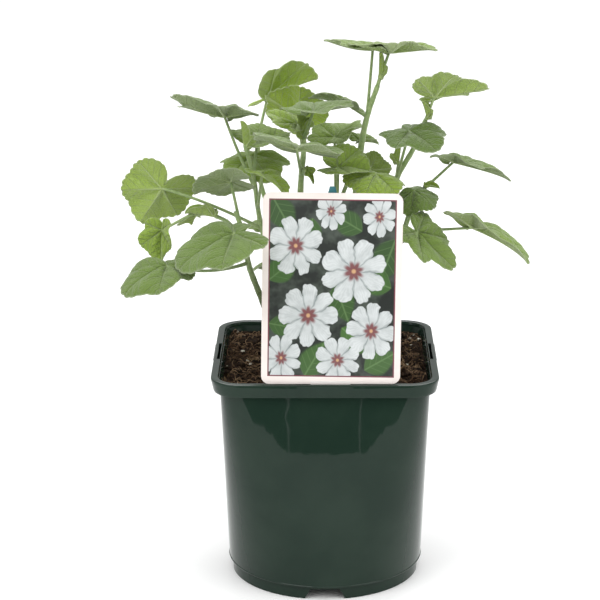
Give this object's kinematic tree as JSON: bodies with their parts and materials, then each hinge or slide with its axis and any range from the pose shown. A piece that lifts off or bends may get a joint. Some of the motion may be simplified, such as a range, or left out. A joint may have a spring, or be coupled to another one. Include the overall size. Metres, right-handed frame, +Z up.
{
  "type": "potted tree mallow",
  "caption": "Young tree mallow with toothed, softly hairy leaves on long stalks, in a square-topped nursery pot with a picture label and a stake.",
  "frame": {"origin": "centre of the pot's underside, on the plane it rests on", "axes": "+Z up along the pot's axis, the picture label stands at the front of the rim, which is -Y"},
  "size_m": [0.2521, 0.1923, 0.3505],
  "materials": {
    "pot_plastic": "glossy dark green",
    "potting_mix": "crumbly, moist, matte",
    "label_card": "glossy print",
    "stake_plastic": "smooth teal",
    "foliage": "softly hairy leaf green"
  },
  "bodies": {
    "root": {"pot": "pot_plastic", "soil": "potting_mix", "plant_label": "label_card", "plant_stake": "stake_plastic", "stem_left_front": "foliage", "stem_left": "foliage", "stem_centre_left": "foliage", "stem_centre": "foliage", "stem_centre_right": "foliage", "stem_right_tall": "foliage", "stem_right": "foliage", "stem_right_low": "foliage", "stem_back_left": "foliage", "stem_back_right": "foliage"}
  },
  "joints": []
}
